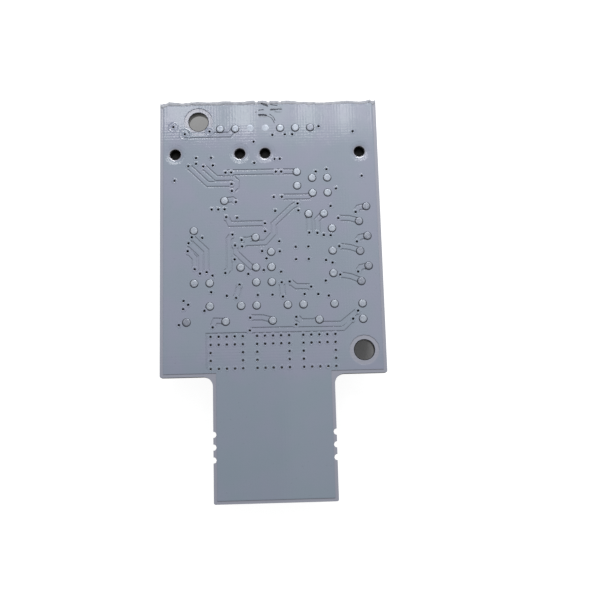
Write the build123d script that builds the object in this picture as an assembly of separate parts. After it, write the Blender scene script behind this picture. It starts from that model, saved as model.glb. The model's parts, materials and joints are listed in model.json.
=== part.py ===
from build123d import *
from math import hypot
import os

os.makedirs("parts", exist_ok=True)

# Daytime running light module: a T-shaped circuit board lying component side down.
# Millimetres. Board places are given as (x, y) with y = 0 on the shoulder line where the
# tongue leaves the body, +Y towards the connectors, seen from the bare back of the board.

# Board outline
board_thickness = 1.6
body_width = 36.6
body_length = 46.6
tongue_width = 19.6
tongue_length = 20.0
shoulder_radius = 1.6
corner_radius = 0.3
same_place = 0.01

# Break-off tabs: drilled bites that are left where the board was snapped out of its panel
bite_radius = 0.5
bite_pitch = 2.0
bite_count = 3
bite_sides = 10
tongue_bite_y = -11.2
tab_bite_radius = 0.3

# Torn upper edge: (x, depth below the full body length), left to right
torn_edge = (
    (-16.8, 0.0),
    (-14.7, 0.25),
    (-12.0, 0.05),
    (-9.4, 0.15),
    (-7.1, 0.0),
    (-4.8, 0.2),
    (-3.0, 0.0),
    (3.3, 0.1),
    (5.4, 0.3),
    (9.3, 0.55),
    (13.3, 0.25),
    (15.4, 0.5),
    (17.4, 0.2),
)
torn_corner_depth = 0.25
torn_margin = 1.0

# Fixing holes for M3 screws, set in from the nearest sides
screw_hole_radius = 1.65
upper_screw_inset = 6.45
upper_screw_drop = 3.5
lower_screw_inset = 3.55
lower_screw_rise = 3.75
screw_clear_radius = 2.45
screw_clear_sides = 16

# Copper under the mask
pour_step = 0.08
pour_edge_gap = 0.55
pour_torn_gap = 0.6
track_width = 0.6
track_gap = 0.25
groove_depth = 0.1
shortest_groove = 1.9
pour_split = ((-10.8, 1.1), (-10.8, 6.95), (-3.75, 6.95))

# Plated through vias
via_radius = 0.24
via_sides = 5

# Thermal via islands behind the lamps
lamp_pitch = 7.5
lamp_count = 3
lamp_y = 3.15
island_pitch = 1.3
island_columns = 5
island_rows = 5
island_solid_rows = (0, 3, 4)
island_low_row = 1.2

# Tinned probe pads on a tenth-inch grid: height above the shoulder, grid columns
probe_pitch = 2.54
probe_radius = 0.6
probe_height = 0.06
probe_sides = 8
probe_rows = (
    (8.9, (-5.5, -3, 0, 3)),
    (11.45, (-4, -2, -1, 1, 2, 4)),
    (15.3, (-5, -4, -1, 0)),
    (16.55, (4,)),
    (17.8, (-2, -1, 0)),
    (20.35, (0, 4)),
    (22.85, (-1,)),
    (24.15, (-5, 4)),
    (26.7, (2.5, 3.5)),
    (29.2, (-3,)),
    (30.3, (2.8, 3.8)),
    (31.6, (1.8,)),
    (32.9, (2.8, 3.8)),
    (34.0, (1.8,)),
)
edge_probe_count = 7
edge_probe_start = -8.2
edge_probe_y = 41.8
corner_probe_heights = (8.85, 11.4)

# Three like lamp channels up the right side
channel_pitch = 5.08
channel_count = 3
channel_y = 15.1
channel_probe_x = 14.7
channel_outer_probe_x = 16.0
channel_outer_rise = 2.54
channel_via_x = 11.25
channel_via_rise = 1.1
channel_via_pitch = 4.8
channel_bend_rise = 0.2
channel_stub_via_x = 14.2
channel_stub_rise = 1.55
channel_stub_elbow = (0.5, 0.7)

# Pin headers
contact_pitch = 2.54
contact_width = 0.64
header_height = 7.7
header_depth = 5.4
header_y = 37.4
header_wall = 0.8
header_floor = 2.0
header_slot_width = 1.3
header_slot_inset = 2.2
header_rim_chamfer = 0.25
small_header_x = -10.35
small_header_ways = 4
large_header_x = 7.25
large_header_ways = 6
peg_offset = 1.6
peg_radius = 0.8
peg_hole_clearance = 0.1
peg_wall = 0.35
peg_recess = 0.9
peg_ring_width = 0.95
peg_ring_sides = 12
peg_sides = 12
contact_tip_recess = 1.5
contact_tip_chamfer = 0.18
tail_reach = 1.5
tail_thickness = 0.4

# Component bodies on the hidden side: length, width, height
ceramic_chip = (1.6, 0.8, 0.8)
resistor_chip = (1.6, 0.8, 0.45)
shunt_chip = (3.2, 1.6, 0.6)
output_chip = (3.2, 1.6, 1.6)
thermistor_chip = (2.0, 1.25, 0.8)
chip_cap_share = 0.22
small_outline_body = (4.9, 3.9, 1.45)
thin_outline_body = (5.0, 4.4, 1.0)
signal_transistor_body = (2.9, 1.3, 1.0)
channel_transistor_body = (4.5, 2.5, 1.5)
diode_body = (4.4, 3.6, 2.2)
choke_body = (5.2, 5.0, 3.0)
body_standoff = 0.1
body_edge_share = 1 / 6

# Their leads
lead_thickness = 0.2
lead_foot = 0.6
lead_reach = 1.05
fine_lead_pitch = 0.65
fine_lead_width = 0.25
driver_leads_per_side = 8
control_leads_per_side = 7
driver_pad_side = 3.0
regulator_lead_pitch = 1.27
regulator_lead_width = 0.4
regulator_leads_per_side = 4
transistor_lead_foot = 0.5
transistor_lead_reach = 0.8
channel_lead_pitch = 3.0
channel_lead_width = 0.5
signal_lead_pitch = 1.9
signal_lead_width = 0.4
diode_lead_width = 2.1
diode_lead_foot = 1.0
choke_terminal_width = 3.0
choke_terminal_foot = 1.2

# Power inductor: square ferrite shield round a flanged drum
inductor_side = 7.8
inductor_height = 4.2
inductor_corner = 1.8
inductor_bore_radius = 3.4
inductor_gap = 0.15
inductor_flange = 0.8
inductor_core_radius = 1.7
inductor_core_sides = 12
inductor_clip_width = 2.6
inductor_clip_thickness = 0.2
inductor_clip_rise = 1.4
inductor_winding_gap = 0.45

# Bulk capacitors, as tall as the headers so that the module lies level on them
capacitor_can_radius = 3.15
capacitor_base_side = 6.6
capacitor_base_height = 0.9
capacitor_base_corner = 1.2
capacitor_bead_depth = 0.25
capacitor_bead_height = 1.0
capacitor_foot_width = 0.7
capacitor_foot_gap = 1.6
capacitor_foot_reach = 0.6
capacitor_foot_height = 0.2

# High-power lamps
lamp_carrier_side = 3.5
lamp_carrier_height = 0.8
lamp_pocket_side = 2.0
lamp_pocket_depth = 0.3
lamp_window_gap = 0.05
lamp_window_recess = 0.05

# Where the components sit: (x, y, turn in degrees)
across = 0
upright = 90
driver_place = (5.1, 20.0, across)
control_place = (-3.2, 19.2, upright)
regulator_place = (-12.2, 20.0, upright)
inductor_place = (4.6, 28.3, across)
choke_place = (-3.5, 29.5, upright)
surge_diode_place = (-14.4, 29.5, upright)
polarity_diode_place = (-9.6, 29.5, upright)
thermistor_place = (3.75, 5.4, across)
capacitor_places = ((-14.4, 10.3, across), (14.4, 10.3, across))
channel_transistor_x = 11.3
shunt_x = 15.6
channel_part_y = 16.2
output_chip_y = 8.0
signal_transistor_y = 12.3
signal_transistor_pitch = 5.0
signal_transistor_count = 4

# Loose vias that stitch the copper pours together
stitch_vias = (
    # header row
    (-16.1, 42.25),
    (-10.0, 41.35),
    (0.6, 40.55),
    (14.2, 40.95),
    (-2.6, 39.4),
    (0.85, 36.3),
    (1.75, 36.3),
    (-2.55, 35.65),
    (-6.45, 34.05),
    (1.05, 34.05),
    (15.45, 33.05),
    (-15.9, 32.8),
    # supply filter
    (-9.75, 27.7),
    (-8.65, 27.7),
    (-7.6, 27.7),
    (0.6, 29.65),
    (0.8, 27.25),
    (4.65, 27.25),
    (10.05, 27.9),
    (-5.55, 26.2),
    # control and driver
    (-11.35, 22.9),
    (8.75, 22.95),
    (1.35, 22.05),
    (-1.5, 20.45),
    (1.4, 20.35),
    (-6.05, 19.15),
    (-0.8, 19.2),
    (9.0, 18.7),
    (10.05, 18.25),
    (-1.3, 17.25),
    (1.55, 16.9),
    (-3.85, 16.65),
    (8.85, 15.25),
    # above the lamps
    (-9.95, 13.75),
    (-7.4, 13.1),
    (0.05, 13.1),
    (7.55, 13.05),
    (-14.45, 12.4),
    (-13.7, 11.75),
    (-14.5, 11.05),
)
driver_via_pitch = 2.1

# Tracks on the back. An end that is not on a probe pad is a via.
header_tracks = (
    ((-14.15, 40.95), (-13.9, 40.7), (-6.6, 40.7), (-5.66, 41.8)),
    ((-13.6, 35.3), (-10.4, 32.1), (-6.4, 32.05)),
    ((-11.1, 35.2), (-8.95, 33.1), (-6.2, 33.1), (-5.6, 32.5), (-5.6, 31.5), (-6.35, 30.85)),
    ((-12.3, 36.7), (-12.3, 35.7)),
    ((-9.8, 36.7), (-9.5, 35.35)),
    ((8.45, 41.95), (7.04, 41.8)),
    ((3.95, 40.6), (4.5, 41.8)),
    ((2.7, 40.6), (1.96, 41.8)),
)
filter_tracks = (
    ((-7.4, 34.05), (1.95, 34.05)),
    ((1.95, 34.05), (4.57, 34.0)),
    ((1.95, 29.65), (6.4, 29.6), (7.11, 30.3)),
    ((-7.62, 29.2), (-6.3, 29.35), (-5.7, 28.9)),
    ((-7.35, 26.35), (-6.8, 25.15), (-0.95, 25.15)),
    ((11.05, 30.9), (9.65, 30.3)),
    ((7.75, 33.95), (7.11, 32.9)),
    ((9.55, 34.3), (9.65, 32.9)),
)
driver_tracks = (
    ((4.55, 28.45), (3.6, 27.9), (0.5, 25.0), (0.5, 23.4), (-0.95, 21.85), (-4.15, 21.8), (-4.8, 21.3)),
    ((-4.85, 22.4), (-3.6, 22.4), (-2.54, 22.85)),
    ((-0.95, 23.8), (-2.54, 22.85)),
    ((-6.35, 23.35), (-6.95, 22.6), (-6.95, 17.5), (-7.6, 16.9)),
    ((-5.95, 21.5), (-5.9, 20.3), (-3.4, 17.8), (-2.54, 17.8)),
    ((-13.05, 23.05), (-10.75, 20.75), (-10.75, 17.6), (-10.65, 17.1)),
    ((-13.6, 22.05), (-11.6, 20.05), (-11.6, 17.5), (-11.75, 16.9)),
    ((-13.75, 20.7), (-12.65, 19.5), (-12.6, 17.65)),
    ((6.35, 23.4), (6.35, 26.7)),
    ((7.7, 23.35), (7.7, 25.5), (8.89, 26.7)),
    ((9.9, 22.9), (10.16, 24.15)),
)
lamp_tracks = (
    ((-9.7, 16.5), (-10.16, 15.3)),
    ((2.9, 15.25), (3.9, 14.4), (6.4, 14.3)),
    ((1.6, 15.15), (1.65, 13.7), (1.75, 12.75)),
    ((1.75, 12.75), (2.54, 11.45)),
    ((-5.3, 14.9), (-5.6, 13.6), (-5.9, 12.7)),
    ((-5.9, 12.7), (-5.08, 11.45)),
    ((-2.35, 13.1), (-2.54, 11.45)),
    ((5.3, 13.1), (5.08, 11.45)),
    ((9.25, 12.75), (10.16, 11.45)),
    ((-15.2, 8.45), (-13.97, 8.9)),
    ((-11.05, 10.7), (-10.16, 11.45)),
    ((-9.75, 7.95), (-9.3, 9.0), (-7.62, 8.9)),
    ((-3.65, 9.4), (-1.6, 9.35), (0, 8.9)),
    ((3.85, 9.35), (4.65, 8.55), (6.6, 8.5), (7.62, 8.9)),
    ((3.8, 8.1), (11.2, 8.0), (13.95, 10.15)),
    ((13.95, 10.15), (14.75, 11.4)),
    ((-3.75, 7.3), (11.45, 7.3), (13.1, 8.85)),
    ((13.1, 8.85), (14.75, 8.85)),
)

# Small chips: rows from one chip to another, filled at no less than the chip pitch
chip_pitch = 1.4
capacitor_rows = (
    ((-6.0, 24.6), (-1.7, 24.6)),
    ((8.45, 18.3), (8.45, 21.8)),
)
resistor_rows = (
    ((2.7, 15.4), (7.5, 15.4)),
    ((1.4, 18.3), (1.4, 21.8)),
    ((-14.6, 15.6), (-9.8, 15.6)),
)
edge_capacitor_y = 43.0
channel_resistor_x = 17.4


def centred_row(count, pitch):
    return [(index - (count - 1) / 2) * pitch for index in range(count)]


def box_between(low, high):
    size = [top - bottom for bottom, top in zip(low, high)]
    return Pos(*low) * Box(*size, align=(Align.MIN, Align.MIN, Align.MIN))


# ---- places ----

shoulder_y = (tongue_length - body_length) / 2
component_face = header_height
back_face = component_face + board_thickness
on_datum = Pos(0, shoulder_y, 0)
upper_screw_hole = (upper_screw_inset - body_width / 2, body_length - upper_screw_drop)
lower_screw_hole = (body_width / 2 - lower_screw_inset, lower_screw_rise)
screw_holes = (upper_screw_hole, lower_screw_hole)
headers = (
    ("header_4way", small_header_x, small_header_ways),
    ("header_6way", large_header_x, large_header_ways),
)
channel_rises = [index * channel_pitch for index in range(channel_count)]
edge_probe_columns = [edge_probe_start + index * probe_pitch for index in range(edge_probe_count)]


# Component side of the board: local +Z points away from the board, +Y stays +Y
def seat(x, y, turn=0):
    return Pos(x, y, component_face) * Rot(0, 180, 0) * Rot(0, 0, turn)


def on_back(x, y, height=0):
    return Pos(x, y, back_face + height)


def probe_sites():
    sites = [(column * probe_pitch, y) for y, columns in probe_rows for column in columns]
    sites += [(x, edge_probe_y) for x in edge_probe_columns]
    for rise in channel_rises:
        sites.append((channel_probe_x, channel_y + rise))
        sites.append((channel_outer_probe_x, channel_y + rise + channel_outer_rise))
    return sites + [(lower_screw_hole[0], y) for y in corner_probe_heights]


def channel_tracks():
    tracks = []
    for channel, rise in enumerate(channel_rises):
        y = channel_y + rise
        via_y = channel_y + channel_via_rise + channel * channel_via_pitch
        bend = ((channel_via_x + channel_probe_x) / 2, (via_y + y) / 2 + channel_bend_rise)
        tracks.append(((channel_via_x, via_y), bend, (channel_probe_x, y)))
        stub_y = y + channel_stub_rise
        elbow = (channel_stub_via_x + channel_stub_elbow[0], stub_y + channel_stub_elbow[1])
        outer = (channel_outer_probe_x, y + channel_outer_rise)
        tracks.append(((channel_stub_via_x, stub_y), elbow, outer))
    return tracks


def all_tracks():
    return list(header_tracks + filter_tracks + driver_tracks + lamp_tracks) + channel_tracks()


def on_probe(point):
    return any(hypot(point[0] - x, point[1] - y) < probe_radius for x, y in probe_sites())


def via_sites():
    sites = list(stitch_vias)
    for track in all_tracks():
        sites += [end for end in (track[0], track[-1]) if not on_probe(end)]
    for x in centred_row(2, driver_via_pitch):
        for y in centred_row(2, driver_via_pitch):
            sites.append((driver_place[0] + x, driver_place[1] + y))
    for island_x in centred_row(lamp_count, lamp_pitch):
        for row in range(island_rows):
            columns = centred_row(island_columns, island_pitch)
            if row not in island_solid_rows:
                columns = (columns[0], columns[-1])
            sites += [(island_x + x, island_low_row + row * island_pitch) for x in columns]
    return list(dict.fromkeys(sites))


# ---- circuit board ----


def board_outline():
    body = Rectangle(body_width, body_length, align=(Align.CENTER, Align.MIN))
    tongue = Rectangle(tongue_width, tongue_length, align=(Align.CENTER, Align.MAX))
    outline = body + tongue
    inner = [v for v in outline.vertices() if abs(v.Y) < shoulder_radius]
    shoulders = [v for v in inner if abs(v.X) < body_width / 2 - corner_radius]
    outline = fillet(shoulders, shoulder_radius)
    square = [v for v in outline.vertices() if v.Y < body_length / 2 and is_outer_corner(v)]
    outline = fillet(square, corner_radius)
    bites = Sketch()
    bite = RegularPolygon(bite_radius, bite_sides)
    for y in centred_row(bite_count, bite_pitch):
        bites += [Pos(side * tongue_width / 2, tongue_bite_y + y) * bite for side in (-1, 1)]
    for x in centred_row(bite_count, bite_pitch):
        bites += Pos(x, body_length) * RegularPolygon(tab_bite_radius, bite_sides)
    return outline - torn_waste() - bites


def is_outer_corner(vertex):
    on_body = abs(abs(vertex.X) - body_width / 2) < same_place and abs(vertex.Y) < same_place
    on_tongue = abs(vertex.Y + tongue_length) < same_place
    return on_body or on_tongue


def torn_waste():
    half = body_width / 2
    left = (-half, body_length - torn_corner_depth)
    right = (half, body_length - torn_corner_depth)
    points = [left] + [(x, body_length - depth) for x, depth in torn_edge] + [right]
    far = half + torn_margin
    above = body_length + torn_margin
    outside = [(far, right[1]), (far, above), (-far, above), (-far, left[1])]
    return make_face(Polyline(*points, *outside, close=True))


def copper_pour():
    width = body_width - 2 * pour_edge_gap
    height = body_length - pour_edge_gap - pour_torn_gap
    body = Pos(0, pour_edge_gap) * Rectangle(width, height, align=(Align.CENTER, Align.MIN))
    tongue_top = pour_edge_gap + tongue_width / 2
    tongue = Pos(0, tongue_top) * Rectangle(
        tongue_width - 2 * pour_edge_gap,
        tongue_length - pour_edge_gap + tongue_top,
        align=(Align.CENTER, Align.MAX),
    )
    pour = body + tongue
    for x, y in screw_holes:
        pour -= Pos(x, y) * RegularPolygon(screw_clear_radius, screw_clear_sides)
    for x, y in peg_sites():
        pour -= Pos(x, y) * RegularPolygon(peg_radius + peg_ring_width, peg_ring_sides)
    return pour


def groove_lines():
    outer = trace(Polyline(*pour_split), track_gap)
    inner = Sketch()
    for track in all_tracks():
        line = Polyline(*track)
        if line.length < shortest_groove:
            continue
        outer += trace(line, track_width + 2 * track_gap)
        inner += trace(line, track_width)
    return outer - inner


def circuit_board():
    outline = board_outline()
    drilled = [Pos(x, y) * Circle(screw_hole_radius) for x, y in screw_holes]
    peg_hole = RegularPolygon(peg_radius + peg_hole_clearance, peg_sides)
    drilled += [Pos(x, y) * peg_hole for x, y in peg_sites()]
    drilled += [Pos(x, y) * RegularPolygon(via_radius, via_sides) for x, y in via_sites()]
    board = Pos(0, 0, component_face) * extrude(outline - drilled, board_thickness)
    bare_margin = outline - copper_pour()
    board -= on_back(0, 0) * extrude(bare_margin, -pour_step)
    board -= on_back(0, 0) * extrude(groove_lines(), -groove_depth)
    return board


def test_pads():
    disc = extrude(RegularPolygon(probe_radius, probe_sides), probe_height)
    return [on_back(x, y) * disc for x, y in probe_sites()]


# ---- pin headers ----


def peg_span(count):
    return (count - 1) * contact_pitch / 2 + peg_offset


def peg_sites():
    return [(x + side * peg_span(ways), header_y) for name, x, ways in headers for side in (-1, 1)]


def header_contact():
    half = contact_width / 2
    tip = header_height - contact_tip_recess
    toe = -header_depth / 2 - tail_reach
    profile = Polyline(
        (toe, 0),
        (half, 0),
        (half, tip),
        (-half, tip),
        (-half, tail_thickness),
        (toe, tail_thickness),
        close=True,
    )
    pin = extrude(Plane.YZ * make_face(profile), half, both=True)
    crown = pin.faces().sort_by(Axis.Z)[-1]
    return chamfer(crown.edges(), contact_tip_chamfer)


def header_contacts(count):
    pin = header_contact()
    return [Pos(x, 0, 0) * pin for x in centred_row(count, contact_pitch)]


def header_housing(count):
    length = 2 * (peg_span(count) + peg_radius + peg_wall)
    low = (Align.CENTER, Align.CENTER, Align.MIN)
    shroud = Box(length, header_depth, header_height, align=low)
    mouth = Box(length - 2 * header_wall, header_depth - 2 * header_wall, header_height, align=low)
    shroud -= Pos(0, 0, header_floor) * mouth
    rim = shroud.faces().sort_by(Axis.Z)[-1]
    shroud = chamfer(rim.inner_wires()[0].edges(), header_rim_chamfer)
    for side in (-1, 1):
        slot = Box(header_slot_width, header_depth, header_height, align=(Align.CENTER, Align.MIN, Align.MIN))
        shroud -= Pos(side * (length / 2 - header_slot_inset), 0, header_floor) * slot
    for side in (-1, 1):
        peg = extrude(RegularPolygon(peg_radius, peg_sides), peg_recess - board_thickness)
        shroud += Pos(side * peg_span(count), 0, 0) * peg
    for contact in header_contacts(count):
        shroud -= contact
    return shroud


# ---- chips with end caps ----


def chip(size):
    length, width, height = size
    low = (Align.CENTER, Align.CENTER, Align.MIN)
    cap_length = length * chip_cap_share
    body = Box(length - 2 * cap_length, width, height, align=low)
    cap = Box(cap_length, width, height, align=low)
    return body, [Pos(side * (length - cap_length) / 2, 0, 0) * cap for side in (-1, 1)]


def chip_row(size, places):
    body, caps = chip(size)
    bodies = [seat(*place) * body for place in places]
    ends = [seat(*place) * cap for place in places for cap in caps]
    return bodies, ends


def row_places(rows):
    places = []
    for first, last in rows:
        row = Line(first, last)
        spaces = int(row.length // chip_pitch)
        sites = [row @ (index / spaces) for index in range(spaces + 1)]
        places += [(site.X, site.Y, upright) for site in sites]
    return places


# ---- packages with leads ----


def package_body(size, underside):
    length, width, height = size
    body = Pos(0, 0, underside) * Box(length, width, height, align=(Align.CENTER, Align.CENTER, Align.MIN))
    top = body.faces().sort_by(Axis.Z)[-1]
    return chamfer(top.edges(), height * body_edge_share)


def gull_lead(span, exit_height, lead_width, reach, foot):
    edge = span / 2
    toe = edge + reach
    heel = toe - foot
    knee = (edge + heel) / 2
    profile = Polyline(
        (edge, exit_height),
        (knee, exit_height),
        (heel, 0),
        (toe, 0),
        (toe, lead_thickness),
        (heel + lead_thickness, lead_thickness),
        (knee + lead_thickness, exit_height + lead_thickness),
        (edge, exit_height + lead_thickness),
        close=True,
    )
    return extrude(Plane.YZ * make_face(profile), lead_width / 2, both=True)


def two_sided_leads(size, per_side, pitch, lead_width):
    lead = gull_lead(size[1], size[2] / 2, lead_width, lead_reach, lead_foot)
    leads = []
    for turn in (0, 180):
        leads += [Rot(0, 0, turn) * Pos(x, 0, 0) * lead for x in centred_row(per_side, pitch)]
    return leads


def end_terminals(size, width, foot):
    half = size[0] / 2
    rise = lead_thickness + size[2] / 2
    outer = half + lead_thickness
    profile = Polyline(
        (half - foot, 0),
        (outer, 0),
        (outer, rise),
        (half, rise),
        (half, lead_thickness),
        (half - foot, lead_thickness),
        close=True,
    )
    clip = extrude(Plane.XZ * make_face(profile), width / 2, both=True)
    return [clip, Rot(0, 0, 180) * clip]


def three_lead_package(size, lead_width, outer_pitch):
    body = package_body(size, body_standoff)
    lead = gull_lead(size[1], size[2] / 2, lead_width, transistor_lead_reach, transistor_lead_foot)
    leads = [Pos(x, 0, 0) * lead for x in centred_row(2, outer_pitch)]
    leads.append(Rot(0, 0, 180) * lead)
    return body, leads


# ---- power inductor ----


def inductor_shield():
    face = chamfer(Rectangle(inductor_side, inductor_side).vertices(), inductor_corner)
    face -= Circle(inductor_bore_radius)
    return Pos(0, 0, inductor_clip_thickness) * extrude(face, inductor_height - inductor_clip_thickness)


def inductor_drum():
    rim = inductor_bore_radius - inductor_gap
    low = inductor_clip_thickness
    top = inductor_height - inductor_gap
    flange = extrude(Circle(rim), inductor_flange)
    core = extrude(RegularPolygon(inductor_core_radius, inductor_core_sides, major_radius=False), top - low)
    return Pos(0, 0, low) * (core + flange + Pos(0, 0, top - low - inductor_flange) * flange)


def inductor_winding():
    low = inductor_clip_thickness + inductor_flange
    high = inductor_height - inductor_gap - inductor_flange
    outside = RegularPolygon(inductor_bore_radius - inductor_winding_gap, inductor_core_sides)
    inside = RegularPolygon(inductor_core_radius, inductor_core_sides, major_radius=False)
    return Pos(0, 0, low) * extrude(outside - inside, high - low)


def inductor_clips():
    half = inductor_side / 2
    skin = inductor_clip_thickness
    inner = inductor_core_radius
    profile = Polyline(
        (inner, 0),
        (half + skin, 0),
        (half + skin, inductor_clip_rise),
        (half, inductor_clip_rise),
        (half, skin),
        (inner, skin),
        close=True,
    )
    clip = extrude(Plane.XZ * make_face(profile), inductor_clip_width / 2, both=True)
    return [clip, Rot(0, 0, 180) * clip]


# ---- bulk capacitors ----


def capacitor_base():
    square = Rectangle(capacitor_base_side, capacitor_base_side)
    keyed = chamfer(square.vertices().group_by(Axis.Y)[0], capacitor_base_corner)
    base = extrude(keyed, capacitor_base_height)
    for foot in capacitor_feet():
        base -= foot
    return base


def capacitor_feet():
    inner = capacitor_foot_gap / 2
    outer = capacitor_base_side / 2 + capacitor_foot_reach
    half = capacitor_foot_width / 2
    foot = box_between((-half, inner, 0), (half, outer, capacitor_foot_height))
    return [foot, Rot(0, 0, 180) * foot]


def capacitor_can():
    radius = capacitor_can_radius
    profile = Polyline(
        (0, capacitor_base_height),
        (radius - capacitor_bead_depth, capacitor_base_height),
        (radius, capacitor_base_height + capacitor_bead_height),
        (radius, header_height),
        (0, header_height),
        close=True,
    )
    return revolve(Plane.XZ * make_face(profile), Axis.Z)


# ---- lamps ----


def lamp_carrier():
    low = (Align.CENTER, Align.CENTER, Align.MIN)
    pocket = Box(lamp_pocket_side, lamp_pocket_side, lamp_pocket_depth, align=low)
    carrier = Box(lamp_carrier_side, lamp_carrier_side, lamp_carrier_height, align=low)
    return carrier - Pos(0, 0, lamp_carrier_height - lamp_pocket_depth) * pocket


def lamp_window():
    side = lamp_pocket_side - 2 * lamp_window_gap
    height = lamp_pocket_depth - lamp_window_recess
    window = Box(side, side, height, align=(Align.CENTER, Align.CENTER, Align.MIN))
    return Pos(0, 0, lamp_carrier_height - lamp_pocket_depth) * window


# ---- assembly ----


def save(name, solids):
    placed = [on_datum * solid for solid in solids]
    export_step(placed[0] if len(placed) == 1 else Compound(children=placed), f"parts/{name}.step")


def place_all(places, solids):
    return [seat(*place) * solid for place in places for solid in solids]


lamp_places = [(x, lamp_y, across) for x in centred_row(lamp_count, lamp_pitch)]
transistor_columns = centred_row(signal_transistor_count, signal_transistor_pitch)

save("circuit_board", [circuit_board()])
save("test_pads", test_pads())

for name, x, ways in headers:
    save(f"{name}_housing", place_all([(x, header_y)], [header_housing(ways)]))
    save(f"{name}_contacts", place_all([(x, header_y)], header_contacts(ways)))

save("lamp_carriers", place_all(lamp_places, [lamp_carrier()]))
save("lamp_windows", place_all(lamp_places, [lamp_window()]))

half_pad = driver_pad_side / 2
driver_pad = box_between((-half_pad, -half_pad, 0), (half_pad, half_pad, body_standoff))
driver_leads = two_sided_leads(thin_outline_body, driver_leads_per_side, fine_lead_pitch, fine_lead_width)
control_leads = two_sided_leads(thin_outline_body, control_leads_per_side, fine_lead_pitch, fine_lead_width)
regulator_leads = two_sided_leads(
    small_outline_body, regulator_leads_per_side, regulator_lead_pitch, regulator_lead_width
)
for name, place, size, leads in (
    ("driver_ic", driver_place, thin_outline_body, driver_leads + [driver_pad]),
    ("control_ic", control_place, thin_outline_body, control_leads),
    ("regulator", regulator_place, small_outline_body, regulator_leads),
):
    save(f"{name}_body", place_all([place], [package_body(size, body_standoff)]))
    save(f"{name}_leads", place_all([place], leads))

save("inductor_shield", place_all([inductor_place], [inductor_shield()]))
save("inductor_drum", place_all([inductor_place], [inductor_drum()]))
save("inductor_winding", place_all([inductor_place], [inductor_winding()]))
save("inductor_clips", place_all([inductor_place], inductor_clips()))

for name, place, size, width, foot in (
    ("filter_choke", choke_place, choke_body, choke_terminal_width, choke_terminal_foot),
    ("surge_diode", surge_diode_place, diode_body, diode_lead_width, diode_lead_foot),
    ("polarity_diode", polarity_diode_place, diode_body, diode_lead_width, diode_lead_foot),
):
    save(f"{name}_body", place_all([place], [package_body(size, lead_thickness)]))
    save(f"{name}_terminals", place_all([place], end_terminals(size, width, foot)))

save("bulk_capacitor_bases", place_all(capacitor_places, [capacitor_base()]))
save("bulk_capacitor_feet", place_all(capacitor_places, capacitor_feet()))
save("bulk_capacitor_cans", place_all(capacitor_places, [capacitor_can()]))

channel_places = [(channel_transistor_x, channel_part_y + rise, upright) for rise in channel_rises]
body, leads = three_lead_package(channel_transistor_body, channel_lead_width, channel_lead_pitch)
save("channel_transistor_bodies", place_all(channel_places, [body]))
save("channel_transistor_leads", place_all(channel_places, leads))
signal_places = [(x, signal_transistor_y, across) for x in transistor_columns]
body, leads = three_lead_package(signal_transistor_body, signal_lead_width, signal_lead_pitch)
save("signal_transistor_bodies", place_all(signal_places, [body]))
save("signal_transistor_leads", place_all(signal_places, leads))

shunt_places = [(shunt_x, channel_part_y + rise, upright) for rise in channel_rises]
channel_resistor_places = [(channel_resistor_x, channel_part_y + rise, upright) for rise in channel_rises]
edge_capacitor_places = [(x, edge_capacitor_y, upright) for x in edge_probe_columns]
for name, size, places in (
    ("shunt", shunt_chip, shunt_places),
    ("output_capacitor", output_chip, [(x, output_chip_y, across) for x, y, turn in lamp_places]),
    ("chip_capacitor", ceramic_chip, row_places(capacitor_rows) + edge_capacitor_places),
    ("chip_resistor", resistor_chip, row_places(resistor_rows) + channel_resistor_places),
    ("thermistor", thermistor_chip, [thermistor_place]),
):
    bodies, caps = chip_row(size, places)
    save(f"{name}_bodies", bodies)
    save(f"{name}_end_caps", caps)
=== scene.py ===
import json
import math
import random

import bmesh
import bpy
from mathutils import Matrix, Vector, noise


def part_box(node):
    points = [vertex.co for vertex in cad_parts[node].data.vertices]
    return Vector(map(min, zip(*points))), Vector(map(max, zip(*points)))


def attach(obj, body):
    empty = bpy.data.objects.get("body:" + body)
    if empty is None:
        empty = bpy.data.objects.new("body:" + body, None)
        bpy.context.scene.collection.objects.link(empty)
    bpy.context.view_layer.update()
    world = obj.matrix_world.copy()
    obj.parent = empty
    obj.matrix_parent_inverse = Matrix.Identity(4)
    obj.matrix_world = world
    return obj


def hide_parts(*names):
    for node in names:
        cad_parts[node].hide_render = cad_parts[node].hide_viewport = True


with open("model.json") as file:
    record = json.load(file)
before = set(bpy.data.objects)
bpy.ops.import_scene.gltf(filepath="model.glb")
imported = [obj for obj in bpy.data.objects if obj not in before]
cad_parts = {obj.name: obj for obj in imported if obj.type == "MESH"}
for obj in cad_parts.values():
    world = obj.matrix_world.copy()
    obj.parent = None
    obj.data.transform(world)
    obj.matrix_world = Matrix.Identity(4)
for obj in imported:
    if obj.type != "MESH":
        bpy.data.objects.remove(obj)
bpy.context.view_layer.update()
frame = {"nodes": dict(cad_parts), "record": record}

nodes = frame["nodes"]
mm = 0.001
clean = 1e-6  # points this close, in metres, are one point

# levels of the board, read from the CAD part
boardLow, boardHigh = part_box("circuit_board")
backZ = boardHigh.z
componentZ = boardLow.z
print("frame loaded:", len(nodes), "nodes")


# camera: looks down on the bare back, tilted a little towards the connectors
cameraSetup = {
    "place": (1.47, -22.95, 138.06),  # mm
    "looks": (0.02335, 0.16681, -0.98571),
    "up": (0.02314, 0.98563, 0.16735),
    "lens": 48.0,
    "sensor": 36.0,
}


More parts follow.
